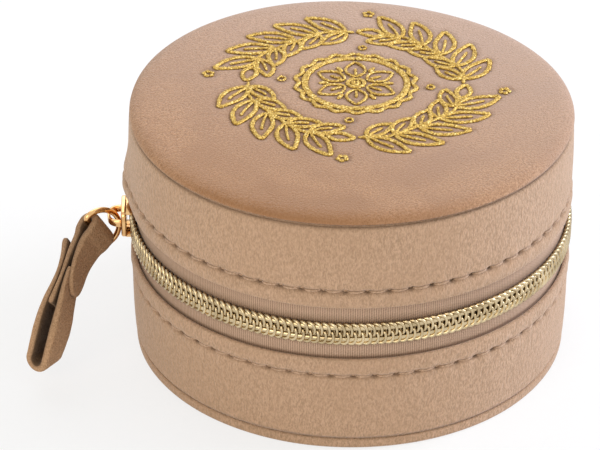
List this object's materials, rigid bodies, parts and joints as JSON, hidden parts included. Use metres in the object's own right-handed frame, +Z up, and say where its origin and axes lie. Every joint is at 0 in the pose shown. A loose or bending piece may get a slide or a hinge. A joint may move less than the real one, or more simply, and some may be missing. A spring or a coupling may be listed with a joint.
{
  "type": "travel jewelry case",
  "caption": "Round velvet travel jewelry case with zip-around lid, cloth hinge, ring rolls, mirror and a pull tab on the slider.",
  "frame": {"origin": "middle of the foot, on the surface that the case stands on", "axes": "+Z up through the middle of the round case; +Y towards the cloth hinge at the back"},
  "size_m": [0.1151, 0.1024, 0.0607],
  "materials": {
    "velvet": "short soft pile",
    "tray_velvet": "short soft pile",
    "lining": "brushed suede cloth",
    "board": "pressed greyboard",
    "foam": "open cell foam",
    "zip_tape": "woven herringbone",
    "zip_teeth": "metallised pale gold",
    "gold_metal": "polished rose gold plate",
    "mirror": "silvered glass"
  },
  "bodies": {
    "base": {"base_disc": "velvet", "base_floor_board": "board", "base_hoop": "board", "base_foam": "foam", "base_band": "velvet", "base_lining": "lining", "tray_rim": "tray_velvet", "divider_left": "tray_velvet", "divider_right": "tray_velvet", "divider_cross": "tray_velvet", "pad_left_front": "tray_velvet", "pad_left_back": "tray_velvet", "pad_right": "tray_velvet", "hinge_panel": "velvet", "hinge_lining": "lining", "zip_tape_lower": "zip_tape", "zip_coil_lower": "zip_teeth", "zip_stops_lower": "gold_metal", "ring_roll_1": "tray_velvet", "ring_roll_2": "tray_velvet", "ring_roll_3": "tray_velvet", "ring_roll_4": "tray_velvet", "ring_roll_5": "tray_velvet", "ring_roll_6": "tray_velvet", "ring_roll_7": "tray_velvet"},
    "lid": {"lid_hoop": "board", "lid_board": "board", "lid_foam": "foam", "lid_band": "velvet", "lid_lining": "lining", "top_foam": "foam", "top_cover": "velvet", "mirror": "mirror", "mirror_frame": "tray_velvet", "zip_tape_upper": "zip_tape", "zip_coil_upper": "zip_teeth", "zip_stops_upper": "gold_metal"},
    "slider": {"zip_slider": "gold_metal"},
    "ring": {"pull_ring": "gold_metal"},
    "tab": {"pull_tab_upper": "velvet", "pull_tab_lower": "velvet"}
  },
  "joints": [
    {"name": "lid_open", "type": "hinge", "parent": "base", "child": "lid", "pos_m": [0, 0.0506, 0.031], "axis": [-1, 0, 0], "range_deg": [0, 100], "deforming": ["hinge_panel", "hinge_lining"]},
    {"name": "zip_slide", "type": "hinge", "parent": "base", "child": "slider", "pos_m": [0, 0, 0.031], "axis": [0, 0, 1], "range_deg": [0, 284], "deforming": ["zip_coil_lower", "zip_coil_upper"]},
    {"name": "ring_swing", "type": "hinge", "parent": "slider", "child": "ring", "pos_m": [-0.03357, 0.04296, 0.031], "axis": [0.4978, -0.1471, -0.8548], "range_deg": [0, 60]},
    {"name": "tab_swing", "type": "hinge", "parent": "ring", "child": "tab", "pos_m": [-0.03804, 0.04535, 0.02798], "axis": [0.4978, -0.1471, -0.8548], "range_deg": [-40, 40]}
  ]
}
